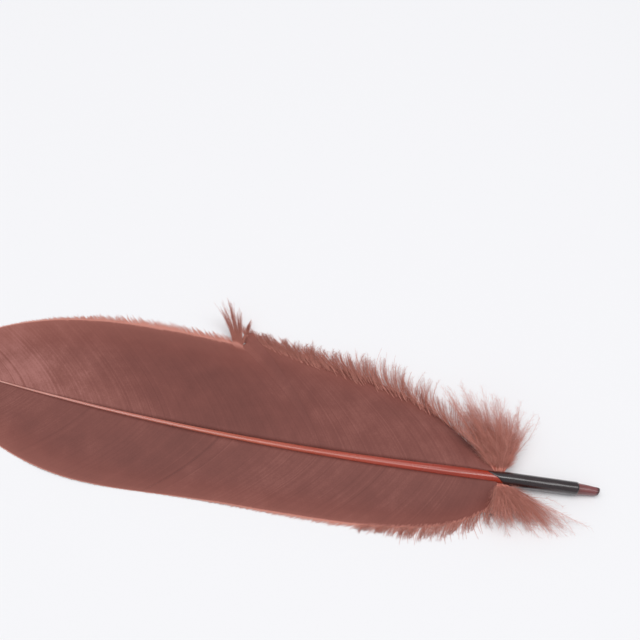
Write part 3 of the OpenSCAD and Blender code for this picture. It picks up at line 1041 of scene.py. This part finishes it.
@dataclass
class LooseWisps:
    """The lock that has come out of the wide vane and stands up from it in a few wisps."""

    vane: Vane
    barbs: int = 130
    # each wisp's length as a share of the full one, and where its end leans to
    sizes: tuple[float, ...] = (0.42, 0.86, 1.1, 1.0)
    leans: tuple[tuple[float, float, float], ...] = (
        (4.6, 0.2, -1.0), (1.2, 0.4, 0.2), (-0.6, 0.5, 0.4), (-2.6, -0.3, -0.3))
    # from the vane's edge to the end of a full wisp
    span: tuple[float, float, float] = (-3.4, 7.9, 9.2)
    # the last part of the hooked web, which the wisps still lie in
    lying_from: float = 0.94

    def build(self) -> Object:
        """Makes the wisps."""
        rng = np.random.default_rng(SEED + 11)
        mesh = StrandMesh()
        foot, top = LOOSE_STRETCH
        self.vane.ribbons(mesh, foot, top, rng)
        count, wisps = self.barbs, len(self.sizes)
        place = (np.arange(count) + 0.5) / count
        feet = mix(foot - 0.6, top + 0.4, place)
        group = np.minimum(wisps - 1, (place * wisps + 0.12 * rng.normal(size=count)).clip(0).astype(int))
        v = np.linspace(self.lying_from, 1.0, 4)
        in_web = (v - self.lying_from) / (1 - self.lying_from)
        lying = LINE.barb(self.vane.side, feet[:, None] * np.ones(4), v[None, :] * np.ones((count, 1)))
        lying[..., 2] += self.vane.wave(feet[:, None], v) + mix(-0.04, 0.03, in_web)
        u = np.linspace(0.0, 1.0, 18)[1:]
        size = np.array(self.sizes)[group] * (0.5 + 0.54 * rng.random(count))
        lean = np.array(self.leans)[group] + rng.normal(0, 0.8, (count, 3))
        rise = size[:, None, None] * (np.stack([u**1.2, u**0.9, u**1.1], -1)[None] * np.array(self.span)
                                      + (u**1.9)[None, :, None] * lean[:, None])
        risen = lying[:, -1:] + rise
        # every wisp draws together towards its end
        middle = np.stack([risen[group == g].mean(0) for g in range(wisps)])[group]
        risen = risen + (middle - risen) * (0.22 * ease((u - 0.3) / 0.6))[:, None]
        path = np.concatenate([lying, risen], 1)
        way = np.concatenate([np.zeros(4), u])
        half = mix(BARB_HALF, 0.014, way)
        # the risen wisps get a pale tint and high rim numbers: painted light, as if it came through the thin hairs
        tint = np.clip(0.75 + 0.1 * rng.normal(size=count), 0, 1)
        edge = np.concatenate([0.3 + 0.3 * in_web, 0.8 + 0.2 * u])
        mesh.add(path, LINE.heading(feet)[:, None], half, np.maximum(0.016, half * 0.4), tint, edge)
        mesh.add_barbules(risen, rng, 0.05, 44, 0.9, 0.015, tint, 0.95)
        return self.vane.place(mesh.build("loose_wisps", self.vane.barbs), "loose_lock", "down")


@dataclass
class TipLeaf:
    """The last barbs on both sides of the shaft's end, closing the feather's tip."""

    barbs: Material
    foot: float = 168.1
    end: float = 177.2

    def build(self) -> Object:
        """Makes the tip."""
        rng = np.random.default_rng(SEED + 21)
        mesh = StrandMesh()
        for side in Side:
            vane = Vane(side, self.barbs, 1, hooked_rings=12, free_rings=3)
            vane.ribbons(mesh, self.foot, self.end, rng)
        count = 7
        spread = np.linspace(-0.5, 0.5, count)
        v = np.linspace(0, 1, 10)
        t = mix(170.0, 178.3 - 3.2 * np.abs(spread)[:, None], v[None, :])
        path = LINE.spine(t) + LINE.outward(t) * (spread[:, None] * 2.6 * v)[..., None]
        mesh.add(path, LINE.outward(t), 0.26 * (1 - 0.85 * v**3), 0.03, np.full(count, 0.5), 0.6 * v**3)
        leaf = mesh.build("tip_leaf", self.barbs)
        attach(leaf, "shaft")
        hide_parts("tip_barbs")
        return leaf


# ---- down


@dataclass
class DownFan:
    """A fan of loose downy barbs at the foot of a vane, gathered into pointed bunches."""

    vane: Vane
    number: int
    finish: Material
    length: float
    spread: tuple[float, float]
    rise: float
    barbs: int = 80
    bunches: int = 12
    rings: int = 16
    hair_mm: float = 2.4
    hairs_per_mm: float = 5.0

    def build(self) -> Object:
        """Makes the fan."""
        wide = self.vane.side is Side.WIDE
        rng = np.random.default_rng(SEED + 31 + 7 * self.number + (0 if wide else 3))
        # the fans stand one above another on the shaft
        foot = (25.7 if wide else 25.1) + (self.number - 1) * 0.85
        top = foot + 0.75
        count = self.barbs
        u = (np.arange(count) + rng.random(count)) / count
        bunch = np.minimum(self.bunches - 1, (u * self.bunches).astype(int))
        middle = (bunch + 0.5 + 0.075 * rng.normal(size=count)) / self.bunches
        size = self.length * (0.45 + 0.62 * rng.random(count) ** 0.7)
        size *= 0.85 + 0.25 * rng.random(self.bunches)[bunch]
        v = np.linspace(0, 1, self.rings)
        way = mix(u[:, None], middle[:, None], 0.5 * ease(v)[None, :])
        ahead = mix(self.spread[0], self.spread[1], way) * v * (size / self.length)[:, None]
        q = LINE.shaft_half(np.array(foot)) + 0.1 + size[:, None] * v * (1 - 0.25 * (2 * way - 1) ** 2)
        t = mix(foot, top, u)[:, None] * np.ones_like(v)
        centre = LINE.spine(t)
        # each barb swells over or under the middle of the fan, and comes back to it at its end
        high = (rng.random(count)[:, None] - 0.35) * (1.6 + 0.6 * rng.random(self.bunches)[bunch][:, None])
        puff = high * np.sin(np.pi * v * 0.85) + 0.8 * (rng.random(self.bunches)[bunch][:, None] - 0.4) * v**2
        # the ends curl over towards the tip of the feather
        curl = (0.8 + 2.2 * rng.random(self.bunches)[bunch][:, None]) * v**2.6 * self.length / 20
        path = centre + self.vane.side.value * q[..., None] * LINE.outward(t)
        path[..., 0] -= ahead + (curl if wide else 0.2 * curl)
        # each barb wavers on its way, and strays most at its end
        wobble = (rng.normal(0, 0.42, (count, 1, 3)) * (np.sin(2.2 * np.pi * v) * v)[None, :, None]
                  + rng.normal(0, 1.6, (count, 1, 3)) * (v**2)[None, :, None])
        path[..., 2] = centre[..., 2] + self.rise * v**1.2 + puff - 0.7 * np.abs(high) * v**3
        path = path + wobble
        path[..., 2] = np.maximum(path[..., 2], 0.08 + 0.1 * rng.random(count)[:, None])
        half = mix(BARB_HALF, 0.016, v)
        tint = np.clip(0.52 + 0.28 * rng.normal(size=count), 0, 1)
        mesh = StrandMesh()
        mesh.add(path, LINE.heading(t), half, half * 0.8, tint, 0.95 * v)
        mesh.add_barbules(path, rng, 0.1, int(self.length * self.hairs_per_mm), self.hair_mm, 0.018, tint, 0.6)
        label = self.vane.label
        piece = mesh.build(f"{label}_down_fan_{self.number}", self.finish)
        return self.vane.place(piece, f"{label}_down_{self.number}", "down")


@dataclass
class AfterTuft:
    """The small tuft of down under the shaft, at the foot of the vanes."""

    finish: Material
    barbs: int = 36
    foot: float = 28.6
    length: float = 10.4

    def build(self) -> Object:
        """Makes the tuft."""
        rng = np.random.default_rng(SEED + 71)
        count = self.barbs
        v = np.linspace(0, 1, 12)
        size = self.length * (0.55 + 0.45 * rng.random(count))
        t = self.foot + rng.random(count)[:, None] * 0.8 + size[:, None] * v
        # the barbs stand in a spindle that lies under the shaft
        angle = 2 * math.pi * rng.random(count)[:, None]
        radius = (0.12 + 0.9 * np.sin(np.pi * np.minimum(1, v + 0.05) ** 0.8)) * np.sqrt(rng.random(count))[:, None]
        below = -LINE.shaft_half(t) - 1.05 + radius * np.sin(angle)
        beside = radius * np.cos(angle)
        path = LINE.spine(t) + LINE.dorsal(t) * below[..., None] + LINE.outward(t) * beside[..., None]
        path[..., 2] = np.maximum(path[..., 2], 0.08)
        half = mix(BARB_HALF, 0.02, v)
        tint = np.clip(0.4 + 0.2 * rng.normal(size=count), 0, 1)
        mesh = StrandMesh()
        mesh.add(path, LINE.outward(t), half, half, tint, 0.4 * v)
        mesh.add_barbules(path, rng, 0.15, 40, 1.2, 0.02, tint, 0.4)
        tuft = mesh.build("under_shaft_tuft", self.finish)
        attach(tuft, "shaft")
        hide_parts("after_tuft")
        return tuft


# ---- the room


@dataclass
class Studio:
    """A pale table, soft light and the camera."""

    azimuth: float = 3.87
    elevation: float = 59.09
    distance: float = 335.76
    target: tuple[float, float, float] = (7.94, 30.8, 4.0)
    roll: float = 7.36
    lens: float = 68.0
    key_watts: float = 10.5
    root_watts: float = 2.9

    def build_table(self) -> Object:
        """Makes the table top as a thin slab with a large flat face."""
        half, top, bottom = 4000.0, -0.12, -20.0
        corners = np.array([[x * half, y * half, z] for z in (top, bottom)
                            for x, y in ((-1, -1), (1, -1), (1, 1), (-1, 1))])
        faces = [[0, 1, 2, 3], [7, 6, 5, 4], [0, 4, 5, 1], [1, 5, 6, 2], [2, 6, 7, 3], [3, 7, 4, 0]]
        table = new_object("table_top", corners, faces, PaleTable().build())
        table.data.shade_flat()
        return table

    def hang_softbox(self, name: str, size: tuple[float, float], watts: float, place: tuple[float, float, float],
                     colour: tuple[float, float, float]) -> None:
        """Hangs a soft light that faces the feather; size and place are in metres."""
        lamp = bpy.data.lights.new(name, "AREA")
        lamp.shape = "RECTANGLE"
        lamp.size, lamp.size_y = size
        lamp.energy = watts
        lamp.color = colour
        holder = bpy.data.objects.new(name, lamp)
        holder.location = place
        holder.rotation_euler = (-holder.location).to_track_quat("-Z", "Y").to_euler()
        bpy.context.scene.collection.objects.link(holder)

    def build_light(self) -> None:
        """Lights the feather with an even pale sky and two soft lights."""
        world = bpy.data.worlds.new("pale_room")
        bpy.context.scene.world = world
        world.use_nodes = True
        world.node_tree.nodes.clear()
        sky = add_node(world.node_tree, "ShaderNodeBackground", {"Color": srgb("#F4F6FA"), "Strength": 0.48})
        add_node(world.node_tree, "ShaderNodeOutputWorld", {"Surface": sky.outputs[0]})
        self.hang_softbox("key_softbox", (1.1, 1.1), self.key_watts, (-0.13, -0.07, 1.34), (1.0, 0.985, 0.97))
        # a smaller one beyond the root end draws the streak of light along the barrel
        self.hang_softbox("root_softbox", (0.5, 0.72), self.root_watts, (0.64, -0.02, 1.25), (1.0, 1.0, 1.0))

    def build_camera(self) -> Object:
        """Stands the camera at the viewing angle."""
        az, el, roll = (math.radians(a) for a in (self.azimuth, self.elevation, self.roll))
        target = Vector(self.target) * MM
        back = Vector((math.sin(az) * math.cos(el), -math.cos(az) * math.cos(el), math.sin(el)))
        lens = bpy.data.cameras.new("view_camera")
        lens.lens = self.lens
        lens.clip_start, lens.clip_end = 0.01, 20.0
        camera = bpy.data.objects.new("view_camera", lens)
        bpy.context.scene.collection.objects.link(camera)
        camera.location = target + back * self.distance * MM
        camera.rotation_euler = back.to_track_quat("Z", "Y").to_euler()
        camera.rotation_euler.rotate_axis("Z", roll)
        bpy.context.scene.camera = camera
        return camera


def report(piece: Object) -> None:
    """Logs a piece's name and size."""
    size = np.ptp(np.array([corner[:] for corner in piece.bound_box]), axis=0) / MM
    LOG.info("%s: %d faces, %s mm", piece.name, len(piece.data.polygons), " x ".join(f"{d:.1f}" for d in size))


def main() -> None:
    """Builds the feather and its surroundings."""
    logging.basicConfig(level=logging.INFO, format="%(message)s")
    bpy.context.scene.view_settings.view_transform = "Standard"
    studio = Studio()
    studio.build_table()
    studio.build_light()
    studio.build_camera()

    barbs, down = DyedBarbs().build(), DyedDown().build()
    root_horn = DyedHorn(
        name="bare_root_horn", streak="#43191A", roughness=0.36, from_mm=0.0, to_mm=28.0, streak_mm=0.5,
        stops=((0.0, "#3C1A18"), (0.02, "#55292A"), (0.04, "#86484A"), (0.3, "#6E332E"), (1.0, "#94341F"))).build()
    quill = Quill(DyedHorn().build(), root_horn, DarkSkin().build())
    for piece in (quill.build_shaft(), quill.build_barrel(), quill.build_skin()):
        report(piece)
    for name in quill.dress_fillings():
        LOG.info("%s keeps its own shape", name)

    wide, narrow = Vane(Side.WIDE, barbs, 10), Vane(Side.NARROW, barbs, 9)
    for vane in (wide, narrow):
        for number in range(1, vane.locks + 1):
            report(vane.build_lock(number))
    report(LooseWisps(wide).build())
    report(TipLeaf(barbs).build())

    fans = [
        DownFan(wide, 1, down, 16.5, (-7.5, -0.5), 3.0), DownFan(wide, 2, down, 20, (-1.0, 6.5), 4.5),
        DownFan(wide, 3, down, 20, (5.0, 14.5), 3.0), DownFan(narrow, 1, down, 9, (-20.0, -8.5), -2.2),
        DownFan(narrow, 2, down, 10.5, (-13.0, -4.0), -2.2), DownFan(narrow, 3, down, 11, (-5.5, 1.0), -2.0)]
    for fan in fans:
        report(fan.build())
    report(AfterTuft(down).build())


if __name__ == "__main__":
    main()
